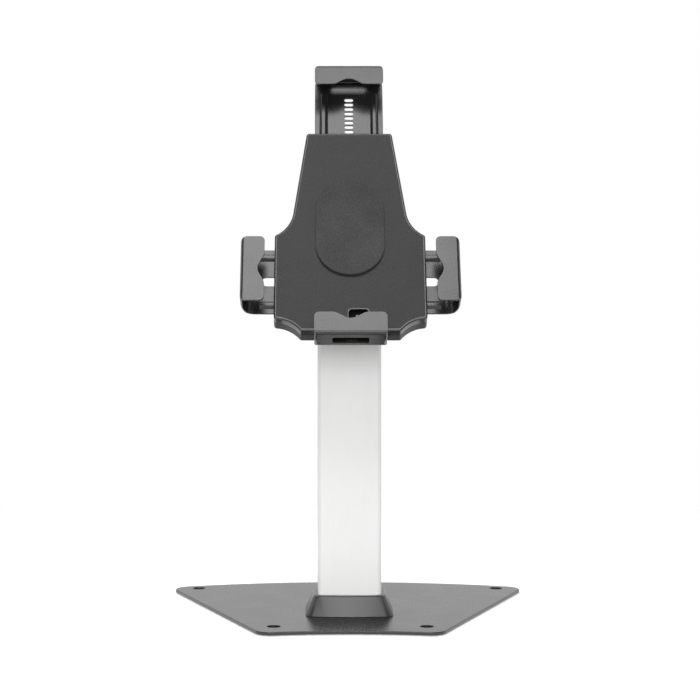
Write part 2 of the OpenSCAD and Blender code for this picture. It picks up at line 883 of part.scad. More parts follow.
module front_cover() {
    color("#2a2a2b")
        in_head()
            difference() {
                union() {
                    difference() {
                        deep(0, cover_d)
                            body2d(0);
                        deep(wall, cover_d + cut)
                            body2d(wall);
                    }
                    intersection() {
                        deep(wall / 2, body_d)
                            body2d(wall / 2);
                        union() {
                            deep(wall / 2, arm_depth - slide_gap)
                                side_rails2d();
                            at_posts()
                                deep_round(post_d / 2, wall / 2, cover_d);
                        }
                    }
                    deep(wall / 2, arm_depth - slide_gap)
                        top_rails2d();
                }
                at_posts()
                    deep_round(body_screw_d / 2 + screw_gap, wall + 0.5, cover_d + cut);
                deep(-cut, wall + cut)
                    translate([window_u, -window_v])
                        round_rect(window_w, window_h, window_r);
            }
}

module face_pad() {
    color("#343434")
        in_head()
            deep(-pad_t, 0)
                rotate(90)
                    slot2d(pad_h, pad_w);
}

module cover_screws() {
    color("#8b8b8d")
        in_head()
            at_posts() {
                deep_round(body_screw_d / 2, wall + 1, body_d - 2);
                deep_round(body_screw_d / 2 + 1.2, body_d - 2, body_d - 0.2);
            }
}

// Quarter of a bent strip about a corner of the claw's side view
module bend2d(c, r, side) {
    translate(c)
        difference() {
            intersection() {
                circle(r);
                translate([side > 0 ? 0 : -r - cut, 0])
                    square(r + cut);
            }
            circle(r - arm_t);
        }
}

// Side view of a claw: depth behind the face across, distance from the middle up
module claw2d(out, depth, bend_r, plate_end) {
    back = depth + arm_t;
    translate([-claw_reach, out - lip_h])
        square([arm_t, lip_h - lip_bend_r]);
    bend2d([lip_bend_r - claw_reach, out - lip_bend_r], lip_bend_r, -1);
    translate([lip_bend_r - claw_reach, out - arm_t])
        square([back - bend_r - lip_bend_r + claw_reach, arm_t]);
    bend2d([back - bend_r, out - bend_r], bend_r, 1);
    translate([depth, plate_end])
        square([arm_t, out - bend_r - plate_end]);
}

// Front view of the shallow dip in a lip's free edge
module dip2d(edge) {
    steps = 24;
    polygon(concat([[-dip_w / 2, edge - cut]],
                   [for (i = [0:steps])
                        [dip_w * (i / steps - 0.5), edge + dip_h * (1 - cos(360 * i / steps)) / 2]],
                   [[dip_w / 2, edge - cut]]));
}

// What is cut away to round a corner of the claw, seen from the front
module corner2d(r) {
    difference() {
        square(r + cut);
        circle(r);
    }
}

// A claw with its arm's flat end, for an arm that points up
module claw(out, depth, bend_r, plate_end, corner) {
    edge = out - lip_h;
    difference() {
        rotate([90, 0, 90])
            linear_extrude(arm_w, center = true)
                claw2d(out, depth, bend_r, plate_end);
        for (x = [-1, 1]) {
            deep(-claw_reach - cut, depth + arm_t + cut)
                translate([x * (half_arm - corner), out - corner])
                    rotate(x > 0 ? 0 : 90)
                        corner2d(corner);
            deep(-claw_reach - cut, arm_t - claw_reach + 0.5)
                translate([x * (half_arm - lip_corner_r), edge + lip_corner_r])
                    rotate(x > 0 ? -90 : 180)
                        corner2d(lip_corner_r);
        }
        deep(-claw_reach - cut, arm_t - claw_reach + 0.5)
            dip2d(edge);
    }
}

// Cross-section of a ribbed arm, its front face on the X axis
module arm_section() {
    flat = rib_out + rib_slope;
    web = rib_in - rib_slope;
    front = [[web, 0], [rib_in, -rib_h], [rib_out, -rib_h], [flat, 0], [half_arm, 0]];
    back = [[half_arm, arm_t], [flat - rib_shift, arm_t], [rib_out - rib_shift, arm_t - rib_h],
            [rib_in + rib_shift, arm_t - rib_h], [web + rib_shift, arm_t]];
    right = concat(front, back);
    polygon(concat(right, [for (i = [len(right) - 1:-1:0]) [-right[i][0], right[i][1]]]));
}

// A sliding arm with its claw, for an arm that points up
module sliding_arm(out, inner, bend_r) {
    rib_end = out - rib_setback;
    translate([0, arm_depth, inner])
        linear_extrude(rib_end - inner)
            arm_section();
    claw(out, arm_depth, bend_r, rib_end, claw_corner_r);
}

// What a cable slot cuts from a claw's wall or lining, for an arm that points up
module cable_slot(out, thick, reach, clear = 0) {
    translate([0, -reach, out - thick - cut])
        linear_extrude(thick + 2 * cut)
            round_rect(cable_slot_w + clear, cable_slot_d + clear, 2);
}

// The soft strip inside a claw's wall, for an arm that points up
module lining(out) {
    translate([-lining_w / 2, lip_bend_r - claw_reach, out - arm_t - lining_t])
        cube([lining_w, lining_depth, lining_t]);
}

// Turns something drawn for an upward arm to the left (-1) or right (1)
module to_side(side) {
    translate([0, 0, -side_v])
        rotate([0, 90 * side, 0])
            children();
}

module top_arm() {
    color("#2e2e2f")
        in_head()
            difference() {
                sliding_arm(top_out, top_in, top_bend_r);
                cable_slot(top_out, arm_t, top_slot_reach);
                for (i = [0:ladder_count - 1])
                    deep(arm_depth - cut, arm_back + cut)
                        translate([0, ladder_top - i * ladder_pitch])
                            slot2d(ladder_slot_w, ladder_slot_h);
            }
}

module top_lining() {
    color("#1c1c1d")
        in_head()
            difference() {
                lining(top_out);
                cable_slot(top_out - arm_t, lining_t, top_slot_reach, 1);
            }
}

module side_arm(side) {
    slot_from = side_in + long_slot_margin;
    slot_to = side_out - long_slot_setback;
    in_head()
        to_side(side)
            difference() {
                sliding_arm(side_out, side_in, arm_bend_r);
                deep(arm_depth - cut, arm_back + cut)
                    translate([0, (slot_from + slot_to) / 2])
                        rotate(90)
                            slot2d(slot_to - slot_from, long_slot_w);
            }
}

module left_arm() {
    color("#2e2e2f") side_arm(-1);
}

module right_arm() {
    color("#2e2e2f") side_arm(1);
}

module left_lining() {
    color("#1c1c1d")
        in_head()
            to_side(-1)
                lining(side_out);
}

module right_lining() {
    color("#1c1c1d")
        in_head()
            to_side(1)
                lining(side_out);
}

module bottom_arm() {
    color("#2e2e2f")
        in_head()
            rotate([0, 180, 0])
                difference() {
                    claw(bottom_out, bottom_arm_depth, bottom_bend_r, bottom_in, bottom_corner_r);
                    cable_slot(bottom_out, arm_t, 0);
                    translate([-window_u, 0, tie_hole_v])
                        deep_round(tie_hole_d / 2, bottom_arm_depth - cut, bottom_arm_depth + arm_t + cut);
                    for (x = [-1, 1])
                        translate([x * bottom_screw_u, 0, bottom_screw_v])
                            deep_round(body_screw_d / 2 + pass_gap, bottom_arm_depth - cut,
                                       bottom_arm_depth + arm_t + cut);
                }
}

module bottom_lining() {
    color("#1c1c1d")
        in_head()
            rotate([0, 180, 0])
                difference() {
                    lining(bottom_out);
                    cable_slot(bottom_out - arm_t, lining_t, 0, 1);
                }
}

module bottom_arm_screws() {
    color("#8b8b8d")
        in_head()
            for (x = [-1, 1])
                translate([x * bottom_screw_u, 0, -bottom_screw_v]) {
                    deep_round(body_screw_d / 2, bottom_arm_depth, body_d - wall);
                    deep_round(body_screw_d / 2 + 1.3, bottom_arm_depth - 2, bottom_arm_depth);
                }
}

module clamp_screws() {
    color("#3a3a3c")
        in_head()
            for (x = [-1, 1])
                translate([x * clamp_u, 0, -side_v]) {
                    deep_round(clamp_screw_d / 2, arm_depth - nut_bar_t - 0.5, body_d);
                    difference() {
                        deep_round(clamp_screw_d, body_d, body_d + 3);
                        translate([0, body_d + 3 + cut, 0])
                            rotate([90, 0, 0])
                                cylinder(h = 2 + cut, r = clamp_screw_d * 0.35, $fn = 6);
                    }
                }
}

module clamp_nut_bars() {
    color("#8b8b8d")
        in_head()
            for (x = [-1, 1])
                translate([x * clamp_u, 0, -side_v])
                    difference() {
                        deep(arm_depth - slide_gap - nut_bar_t, arm_depth - slide_gap)
                            round_rect(nut_bar_l, nut_bar_h, 2);
                        deep_round(clamp_screw_d / 2 + screw_gap, 0, arm_depth + cut);
                    }
}

// Places something on the lock's axis
module at_lock() {
    in_head()
        translate([0, 0, lock_v])
            children();
}

module lock_barrel() {
    color("#9a9a9c")
        at_lock()
            difference() {
                union() {
                    deep_round(lock_d / 2, barrel_front, body_d);
                    deep_round(lock_collar_d / 2, body_d, collar_back);
                }
                deep_round(stem_d / 2 + run_gap, barrel_front - cut, collar_back + cut);
                deep_round(plunger_d / 2 + run_gap, barrel_floor, collar_back + cut);
            }
}

module lock_ring_nut() {
    color("#8b8b8d")
        at_lock()
            ring(lock_d / 2 + lock_nut_rim, lock_d / 2 + screw_gap,
                 body_d - wall - lock_nut_t, body_d - wall);
}

module lock_spring() {
    color("#8b8b8d")
        at_lock()
            ring(plunger_d / 2 - 0.2, stem_d / 2 + 0.3, barrel_floor, barrel_floor + spring_t);
}

module lock_plunger() {
    color("#9a9a9c")
        at_lock()
            difference() {
                union() {
                    deep(tooth_tip, stem_front + cut)
                        slot2d(ladder_slot_w - 0.6, ladder_slot_h - 0.6);
                    deep_round(stem_d / 2, stem_front, head_front + cut);
                    deep_round(plunger_d / 2, head_front, plunger_back);
                }
                deep_round(core_d / 2 + run_gap, core_front - 0.1, plunger_back + cut);
            }
}

module lock_core() {
    color("#b8b8ba")
        at_lock()
            difference() {
                deep_round(core_d / 2, core_front, plunger_back);
                deep(plunger_back - core_l / 2, plunger_back + cut)
                    square([1.6, core_d * 0.6], center = true);
            }
}

base_mat();
base_plate();
column();
column_foot_screws();
foot_shroud();
tilt_yoke();
yoke_screws();
pivot_bolt();
pivot_nut();
pivot_washers();
tilt_bracket();
pivot_spacer();
rotation_washers();
rotation_disc();
disc_screws();
rotation_bolt();
rotation_nut();
rear_shell();
front_cover();
face_pad();
cover_screws();
bottom_arm();
bottom_lining();
bottom_arm_screws();
clamp_screws();
clamp_nut_bars();
lock_barrel();
lock_ring_nut();
lock_spring();
lock_plunger();
lock_core();
top_arm();
top_lining();
left_arm();
left_lining();
right_arm();
right_lining();
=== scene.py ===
# %% [markdown]
# # A desk stand that locks a tablet
# The stand is a heavy steel plate, a white column, and a black holder that leans
# back and turns. Four claws hook over the tablet: one is fixed and three slide.
# Every solid already exists as an exact CAD body, and it is loaded here as a fixed
# frame. CAD edges are perfectly sharp, though, and nothing real is. Most of this
# lesson is about that one difference: a copy of each body gets its true edge
# radius, and then a finish that catches light as paint, plastic or foam does.

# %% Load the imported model
import json
import math

import bmesh
import bpy
from mathutils import Matrix, Vector


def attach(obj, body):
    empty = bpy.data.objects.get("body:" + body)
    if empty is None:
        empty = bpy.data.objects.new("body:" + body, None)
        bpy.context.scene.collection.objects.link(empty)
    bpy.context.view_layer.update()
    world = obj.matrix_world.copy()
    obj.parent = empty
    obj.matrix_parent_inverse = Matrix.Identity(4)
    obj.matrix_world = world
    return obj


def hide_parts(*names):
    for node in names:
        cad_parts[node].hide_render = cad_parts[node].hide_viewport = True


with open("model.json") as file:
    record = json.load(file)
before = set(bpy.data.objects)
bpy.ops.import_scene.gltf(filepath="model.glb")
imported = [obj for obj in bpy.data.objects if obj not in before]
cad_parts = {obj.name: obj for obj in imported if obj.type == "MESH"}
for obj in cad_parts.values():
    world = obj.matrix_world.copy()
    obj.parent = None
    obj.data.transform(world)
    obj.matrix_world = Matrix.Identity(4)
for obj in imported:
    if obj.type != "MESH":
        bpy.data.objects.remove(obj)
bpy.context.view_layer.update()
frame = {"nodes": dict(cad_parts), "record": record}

MM = 0.001

# %% [markdown]
# ## The camera
# The photograph was taken from about 1.7 m away with a long lens that was held level,
# so the column's sides stay upright and the plate looks thin. A level camera puts
# the horizon in the middle of the picture. Here it belongs a little higher, so the
# lens is shifted, as on a view camera, and the camera itself is never tipped.

# %% Place the camera
PHOTO_PX = 700
SENSOR_MM = 36
LENS_MM = 92.26
LENS_SHIFT_PX = (26.1, -80)
EYE = (-0.024, -1.7025, 0.3276)
NEAREST_SEEN, FARTHEST_SEEN = 0.05, 200

lens = bpy.data.cameras.new("photo_lens")
lens.sensor_width = SENSOR_MM
lens.lens = LENS_MM
lens.shift_x = LENS_SHIFT_PX[0] / PHOTO_PX
lens.shift_y = LENS_SHIFT_PX[1] / PHOTO_PX
lens.clip_start = NEAREST_SEEN
lens.clip_end = FARTHEST_SEEN
camera = bpy.data.objects.new("photo_camera", lens)
camera.location = EYE
camera.rotation_euler = (math.radians(90), 0, 0)
bpy.context.scene.collection.objects.link(camera)
bpy.context.scene.camera = camera
bpy.context.scene.view_settings.view_transform = "Standard"
print("camera is", round(-camera.location.y, 3), "m in front of the column")

# %% [markdown]
# ## The studio
# Satin black shows mostly what it reflects, so lamps matter more than colour. One
# large softbox hangs in front and above: the leaning claws mirror it, and turn mid
# grey. A lower one behind the camera looks into the bends and the window. Two tall
# narrow boxes stand at the sides and draw the thin bright lines on the rounded
# edges, and three wide ones behind keep the back from going black. The rest is a
# plain grey fill from all round.

# %% Hang the softboxes
STAND_MIDDLE = (0, 0, 0.3)
CLAWS_MIDDLE = (0, 0, 0.38)
# name: place, aim, width, height and watts for each square metre
SOFTBOXES = {
    "front_top_box": ((-0.1, -1.17, 2.15), CLAWS_MIDDLE, 0.95, 0.85, 22),
    "front_low_box": ((0.0, -2.05, 0.7), STAND_MIDDLE, 1.3, 1.0, 14),
    "left_box": ((-1.6, -0.5, 0.8), STAND_MIDDLE, 0.14, 1.5, 12),
    "right_box": ((1.6, -0.6, 0.8), STAND_MIDDLE, 0.14, 1.5, 9),
    "back_top_box": ((-0.2, 1.3, 1.9), STAND_MIDDLE, 1.2, 0.9, 9),
    "back_left_box": ((-1.5, 0.7, 0.9), STAND_MIDDLE, 0.9, 0.9, 4),
    "back_right_box": ((1.5, 0.6, 0.9), STAND_MIDDLE, 0.9, 0.9, 4),
}
for name, (place, aim, width, height, strength) in SOFTBOXES.items():
    lamp = bpy.data.lights.new(name, "AREA")
    lamp.shape = "RECTANGLE"
    lamp.size = width
    lamp.size_y = height
    lamp.energy = strength * width * height
    box = bpy.data.objects.new(name, lamp)
    box.location = place
    box.rotation_euler = (Vector(aim) - Vector(place)).to_track_quat("-Z", "Y").to_euler()
    box.visible_camera = False
    bpy.context.scene.collection.objects.link(box)
print("lamps:", list(SOFTBOXES))

# %% [markdown]
# ## Sums with nodes
# The world, the floor and the finishes all do small sums with Math nodes. Each node
# takes four lines to make, so a helper makes one in a single line. Its inputs can be
# plain numbers or the outputs of other nodes. A second helper makes a smooth step,
# for what fades from one place to another.

# %% Two helpers for sums
def math_node(tree, operation, first, second):
    """The output of a Math node whose two inputs are numbers or other nodes' outputs."""
    node = tree.nodes.new("ShaderNodeMath")
    node.operation = operation
    for socket, value in ((node.inputs[0], first), (node.inputs[1], second)):
        if isinstance(value, bpy.types.NodeSocket):
            tree.links.new(value, socket)
        else:
            socket.default_value = value
    return node.outputs[0]


def smooth_step(tree, value, start, end, lowest=0.0):
    """The output of a Map Range node that rises smoothly from lowest to 1."""
    step = tree.nodes.new("ShaderNodeMapRange")
    step.interpolation_type = "SMOOTHSTEP"
    step.inputs["From Min"].default_value = start
    step.inputs["From Max"].default_value = end
    step.inputs["To Min"].default_value = lowest
    tree.links.new(value, step.inputs["Value"])
    return step.outputs["Result"]


print("helpers:", math_node.__name__, "and", smooth_step.__name__)

# %% [markdown]
# ## White all round
# The picture's background is pure white, but a world that bright would flood the
# stand with light. The Light Path node tells the two jobs apart: a ray that comes
# straight from the camera finds white, and a ray that lights things finds the grey
# fill. A ray off a glossy surface finds what a studio has: the white backdrop behind
# the stand, and the dim room in front of it. That dim room is what makes the
# rounded rims of black things look black.

# %% Colour the world
FILL = 0.45
ROOM = 0.3
BACKDROP_STARTS, BACKDROP_FULL = 0.45, 0.92

world = bpy.data.worlds.new("studio_world")
bpy.context.scene.world = world
world.use_nodes = True
sky = world.node_tree
direction = sky.nodes.new("ShaderNodeTexCoord")
parts = sky.nodes.new("ShaderNodeSeparateXYZ")
sky.links.new(direction.outputs["Generated"], parts.inputs[0])
backdrop = smooth_step(sky, parts.outputs["Y"], BACKDROP_STARTS, BACKDROP_FULL, ROOM)
ray = sky.nodes.new("ShaderNodeLightPath").outputs
mirrored = math_node(sky, "MULTIPLY", ray["Is Glossy Ray"], backdrop)
straight = math_node(sky, "MAXIMUM", ray["Is Camera Ray"], ray["Is Transmission Ray"])
fill_here = math_node(sky, "MULTIPLY", math_node(sky, "SUBTRACT", 1, ray["Is Glossy Ray"]), FILL)
grey_or_white = sky.nodes.new("ShaderNodeMix")
grey_or_white.data_type = "RGBA"
sky.links.new(math_node(sky, "MAXIMUM", straight, mirrored), grey_or_white.inputs["Factor"])
sky.links.new(fill_here, grey_or_white.inputs["A"])
grey_or_white.inputs["B"].default_value = (1, 1, 1, 1)
sky.links.new(grey_or_white.outputs["Result"], sky.nodes["Background"].inputs["Color"])
sky.nodes["Background"].inputs["Strength"].default_value = 1
print("fill light:", FILL, "and the room in mirrors:", ROOM)

# %% [markdown]
# ## The floor
# The floor is a big pale sheet. Near the stand it is an ordinary matt surface that
# takes a shadow. Further out it fades into a glow of strength 1, which is white, so
# there is no grey band where it meets the background. Only rays that see the floor
# find the glow, and rays that light the stand don't.

# %% Mix the floor's paper
FADE_STARTS, FADE_ENDS = 0.25, 0.9
PAPER_GRAIN = 60
PAPER_DARKEST, PAPER_LIGHTEST = 0.86, 0.9
GLOW_NEAR_THE_STAND = 0.35


def floor_finish():
    mat = bpy.data.materials.new("floor_paper")
    mat.use_nodes = True
    tree = mat.node_tree
    nodes, links = tree.nodes, tree.links
    nodes.clear()
    where = nodes.new("ShaderNodeTexCoord")
    reach = nodes.new("ShaderNodeVectorMath")
    reach.operation = "LENGTH"
    links.new(where.outputs["Object"], reach.inputs[0])
    paper = nodes.new("ShaderNodeBsdfDiffuse")
    grain = nodes.new("ShaderNodeTexNoise")
    grain.inputs["Scale"].default_value = PAPER_GRAIN
    links.new(where.outputs["Object"], grain.inputs["Vector"])
    tone = nodes.new("ShaderNodeMapRange")
    tone.inputs["To Min"].default_value = PAPER_DARKEST
    tone.inputs["To Max"].default_value = PAPER_LIGHTEST
    links.new(grain.outputs["Fac"], tone.inputs["Value"])
    links.new(tone.outputs["Result"], paper.inputs["Color"])
    ray = nodes.new("ShaderNodeLightPath").outputs
    seen = math_node(tree, "MAXIMUM", ray["Is Camera Ray"], ray["Is Glossy Ray"])
    seen = math_node(tree, "MAXIMUM", seen, ray["Is Transmission Ray"])
    far_glow = nodes.new("ShaderNodeEmission")
    links.new(seen, far_glow.inputs["Strength"])
    near_glow = nodes.new("ShaderNodeEmission")
    links.new(math_node(tree, "MULTIPLY", seen, GLOW_NEAR_THE_STAND), near_glow.inputs["Strength"])
    near = nodes.new("ShaderNodeAddShader")
    links.new(paper.outputs[0], near.inputs[0])
    links.new(near_glow.outputs[0], near.inputs[1])
    both = nodes.new("ShaderNodeMixShader")
    links.new(smooth_step(tree, reach.outputs["Value"], FADE_STARTS, FADE_ENDS), both.inputs[0])
    links.new(near.outputs[0], both.inputs[1])
    links.new(far_glow.outputs[0], both.inputs[2])
    out = nodes.new("ShaderNodeOutputMaterial")
    links.new(both.outputs[0], out.inputs["Surface"])
    return mat


print("the paper is matt within", FADE_STARTS, "m and white from", FADE_ENDS, "m")

# %% Lay the floor
FLOOR_HALF = 40
sheet = bmesh.new()
bmesh.ops.create_grid(sheet, x_segments=4, y_segments=4, size=FLOOR_HALF)
floor_mesh = bpy.data.meshes.new("floor")
sheet.to_mesh(floor_mesh)
sheet.free()
floor = bpy.data.objects.new("floor", floor_mesh)
floor_mesh.materials.append(floor_finish())
bpy.context.scene.collection.objects.link(floor)
print("floor is", round(floor.dimensions.x), "m wide")

# %% [markdown]
# ## Finishes made from noise
# A single colour looks like plastic toys. Real coatings vary on two scales: a fine
# grain that you could feel with a fingernail, and slow patches a few centimetres
# wide. One helper builds both. The fine noise moves the colour, the roughness and a
# tiny bump together, so a speck that looks lighter also stands a little prouder.
# Foam and rubber have round pores too, which come from a second texture. Everything
# is measured in Object coordinates, which here are metres.

# %% A helper for finishes
GRAIN_DETAIL = 3
PATCHES_PER_M = 28
PORES_PER_GRAIN = 0.7
NOISE_LOW, NOISE_HIGH = 0.3, 0.7
FINISH_OF = {}


def finish(name, dark, light, grain_mm, rough, bump_mm, metal=0.0, specular=0.5,
           stretch=(1, 1, 1), patches=0.3, pores=False):
    mat = bpy.data.materials.new(name)
    mat.use_nodes = True
    tree = mat.node_tree
    nodes, links = tree.nodes, tree.links
    shader = nodes["Principled BSDF"]
    shader.inputs["Metallic"].default_value = metal
    shader.inputs["Specular IOR Level"].default_value = specular
    where = nodes.new("ShaderNodeTexCoord")
    place = nodes.new("ShaderNodeMapping")
    place.inputs["Scale"].default_value = stretch
    links.new(where.outputs["Object"], place.inputs["Vector"])
    fine = nodes.new("ShaderNodeTexNoise")
    fine.inputs["Scale"].default_value = 1 / (grain_mm * MM)
    fine.inputs["Detail"].default_value = GRAIN_DETAIL
    links.new(place.outputs["Vector"], fine.inputs["Vector"])
    height = fine.outputs["Fac"]
    if pores:
        cells = nodes.new("ShaderNodeTexVoronoi")
        cells.inputs["Scale"].default_value = PORES_PER_GRAIN / (grain_mm * MM)
        links.new(place.outputs["Vector"], cells.inputs["Vector"])
        height = math_node(tree, "MULTIPLY", height, cells.outputs["Distance"])
    wide = nodes.new("ShaderNodeTexNoise")
    wide.inputs["Scale"].default_value = PATCHES_PER_M
    links.new(where.outputs["Object"], wide.inputs["Vector"])
    blend = nodes.new("ShaderNodeMix")
    blend.inputs["Factor"].default_value = patches
    links.new(fine.outputs["Fac"], blend.inputs["A"])
    links.new(wide.outputs["Fac"], blend.inputs["B"])
    colour = nodes.new("ShaderNodeValToRGB")
    stops = colour.color_ramp.elements
    for stop, position, tint in zip(stops, (NOISE_LOW, NOISE_HIGH), (dark, light)):
        stop.position = position
        stop.color = (*tint, 1)
    links.new(blend.outputs["Result"], colour.inputs["Fac"])
    links.new(colour.outputs["Color"], shader.inputs["Base Color"])
    gloss = nodes.new("ShaderNodeMapRange")
    gloss.inputs["From Min"].default_value = NOISE_LOW
    gloss.inputs["From Max"].default_value = NOISE_HIGH
    gloss.inputs["To Min"].default_value = rough[0]
    gloss.inputs["To Max"].default_value = rough[1]
    links.new(blend.outputs["Result"], gloss.inputs["Value"])
    links.new(gloss.outputs["Result"], shader.inputs["Roughness"])
    bump = nodes.new("ShaderNodeBump")
    bump.inputs["Strength"].default_value = 1
    bump.inputs["Distance"].default_value = bump_mm * MM
    links.new(height, bump.inputs["Height"])
    links.new(bump.outputs["Normal"], shader.inputs["Normal"])
    FINISH_OF[name] = mat


def grey(value, warm=0.0):
    return (value * (1 + warm), value, value * (1 - warm))


print("patches are about", round(100 / PATCHES_PER_M, 1), "cm wide")

# %% [markdown]
# ## Paint, plastic, foam and rubber
# The plate wears a smooth powder coat, and the formed arms a slightly shinier one.
# The face of the holder was moulded against a spark-eroded tool, which leaves a dry,
# even grain; the shroud came from a plain tool and is shinier. The column's grain is
# stretched along its length, as it is on any extrusion. The pad is a closed foam full
# of tiny pores.

# %% Mix the coatings
ALONG_THE_COLUMN = (1, 1, 0.04)
finish("powder_black", grey(0.014), grey(0.022), grain_mm=1.6, rough=(0.25, 0.31),
       bump_mm=0.005, specular=0.6, patches=0.5)
finish("arm_black", grey(0.012), grey(0.018), grain_mm=1.6, rough=(0.24, 0.28),
       bump_mm=0.003, specular=0.55, patches=0.7)
finish("column_white", grey(0.84, 0.004), grey(0.88, 0.004), grain_mm=1.4, rough=(0.3, 0.36),
       bump_mm=0.004, stretch=ALONG_THE_COLUMN, patches=0.5)
finish("plastic_textured", grey(0.012), grey(0.04), grain_mm=1.3, rough=(0.4, 0.5),
       bump_mm=0.03, specular=0.26)
finish("plastic_black", grey(0.01), grey(0.016), grain_mm=1.2, rough=(0.28, 0.36),
       bump_mm=0.006, specular=0.7)
finish("plastic_rim", grey(0.01), grey(0.014), grain_mm=1.2, rough=(0.16, 0.22),
       bump_mm=0.002, specular=0.6)
finish("foam", grey(0.032), grey(0.088), grain_mm=1.0, rough=(0.82, 0.95),
       bump_mm=0.09, specular=0.25, pores=True)
finish("rubber", grey(0.012), grey(0.026), grain_mm=0.8, rough=(0.7, 0.85),
       bump_mm=0.03, specular=0.3, pores=True)
finish("nylon", grey(0.6, 0.02), grey(0.68, 0.02), grain_mm=0.9, rough=(0.4, 0.5), bump_mm=0.005)
print("coatings mixed:", len(FINISH_OF))

# %% [markdown]
# ## Bare and plated metal
# Zinc plate is bright with a faint drawn grain, black oxide is almost dull, and the
# lock's nickel is smooth. Metals take their colour from the reflection itself, so
# their base colour is light and their Metallic value is 1.

# %% Mix the metals
finish("steel_zinc", grey(0.48), grey(0.66), grain_mm=0.5, rough=(0.28, 0.42),
       bump_mm=0.006, metal=1.0)
finish("steel_dark", grey(0.05), grey(0.09), grain_mm=0.6, rough=(0.34, 0.46),
       bump_mm=0.006, metal=1.0)
finish("lock_chrome", grey(0.6, 0.01), grey(0.74, 0.01), grain_mm=0.7, rough=(0.16, 0.26),
       bump_mm=0.003, metal=1.0)
finish("lock_core", grey(0.46, 0.05), grey(0.6, 0.05), grain_mm=0.35, rough=(0.22, 0.34),
       bump_mm=0.006, metal=1.0)
print("finishes:", sorted(FINISH_OF))

# %% [markdown]
# ## Standing the holder upright to work on it
# The holder leans back by 28.2 degrees about a bolt at the top of the column. Picking
# edges is far easier when the part stands straight, as on a bench. So each copy is
# turned upright with its face on the plane y = 0, worked on, and leaned back again.

# %% The lean and its inverse
LEAN = math.radians(28.2)
PIVOT_HEIGHT = 339.8 * MM
PIVOT_DEPTH = 56 * MM
lean_back = (Matrix.Translation((0, 0, PIVOT_HEIGHT)) @ Matrix.Rotation(-LEAN, 4, "X")
             @ Matrix.Translation((0, -PIVOT_DEPTH, 0)))
stand_up = lean_back.inverted()
print("middle of the face on the stand, mm:",
      [round(c / MM, 1) for c in lean_back @ Vector((0, 0, 0))])

# %% [markdown]
# ## Copying a body and finding its edges
# A loaded body is a heap of loose triangles. Its copy is welded first, and then the
# triangles of each flat face are dissolved into one face, which leaves only the real
# edges. An edge is worth rounding if its two faces meet at a clear angle. The bevel
# may not run into its neighbours, so clamp_overlap is on. The shortest of the chosen
# edges then holds all of them back: a radius below is the most that a rim can get.

# %% Weld, flatten and pick
WELD_MM = 0.002
FLAT_DEG = 0.4


def bench_copy(node, upright=False):
    bm = bmesh.new()
    bm.from_mesh(frame["nodes"][node].data)
    bmesh.ops.remove_doubles(bm, verts=bm.verts, dist=WELD_MM * MM)
    bmesh.ops.dissolve_limit(bm, angle_limit=math.radians(FLAT_DEG), verts=bm.verts,
                             edges=bm.edges, use_dissolve_boundaries=False)
    if upright:
        bm.transform(stand_up)
        bm.normal_update()
    return bm


def hard_edges(bm, least_deg=35, most_deg=180, pick=None):
    found = []
    for edge in bm.edges:
        if len(edge.link_faces) != 2:
            continue
        turn = math.degrees(edge.calc_face_angle())
        if least_deg < turn < most_deg and (pick is None or pick(edge)):
            found.append(edge)
    return found


def round_off(bm, edges, radius_mm, steps=3):
    if edges:
        bmesh.ops.bevel(bm, geom=edges, offset=radius_mm * MM, offset_type="OFFSET",
                        segments=steps, profile=0.5, affect="EDGES", clamp_overlap=True,
                        material=-1)


sample = bench_copy("base_plate")
print("base plate:", len(frame["nodes"]["base_plate"].data.polygons), "triangles are",
      len(sample.faces), "faces with", len(hard_edges(sample)), "hard edges")
sample.free()

# %% [markdown]
# ## Finding a rim
# A cover has many edges at the same depth: its outline, a window, screw holes. They
# are separate rings, so they are told apart by walking from edge to edge. The ring
# with the widest spread is the outline, and it comes first. The edges still to walk
# are the keys of a dictionary, which keeps their order, so every run of this script
# finds the same rings in the same order. A set would shuffle them. Two tolerances
# come with it: how far a point may lie off a place and still count as there, and the
# cosine from which two directions count as parallel.

# %% Rings of edges
LEVEL_MM = 0.02
PARALLEL = 0.999


def rings(edges):
    left = dict.fromkeys(edges)
    found = []
    while left:
        ring = [next(iter(left))]
        del left[ring[0]]
        for edge in ring:
            for vert in edge.verts:
                for near in vert.link_edges:
                    if near in left:
                        del left[near]
                        ring.append(near)
        found.append(ring)

    def spread(ring):
        xs = [v.co.x for e in ring for v in e.verts]
        zs = [v.co.z for e in ring for v in e.verts]
        return (max(xs) - min(xs)) + (max(zs) - min(zs))

    return sorted(found, key=spread, reverse=True)


def at(axis, place_mm):
    """Picks the edges that lie wholly at one place along an axis."""
    return lambda edge: all(abs(getattr(v.co, axis) - place_mm * MM) < LEVEL_MM * MM
                            for v in edge.verts)


print("an edge is level when both its ends are within", LEVEL_MM, "mm")

# %% [markdown]
# ## Finishing a piece
# A rounded piece is shaded smooth, with a crease wherever faces still meet sharply.
# The narrow strips of a rounded edge would otherwise bend the shading of the large
# flats beside them, so the Weighted Normal modifier lets the large faces decide.
# The piece then rides on its body and stands for its CAD node.

# %% Turn a bench mesh into a piece
BODY_OF = {n: body for body, nodes in frame["record"]["behaviour"]["bodies"].items() for n in nodes}


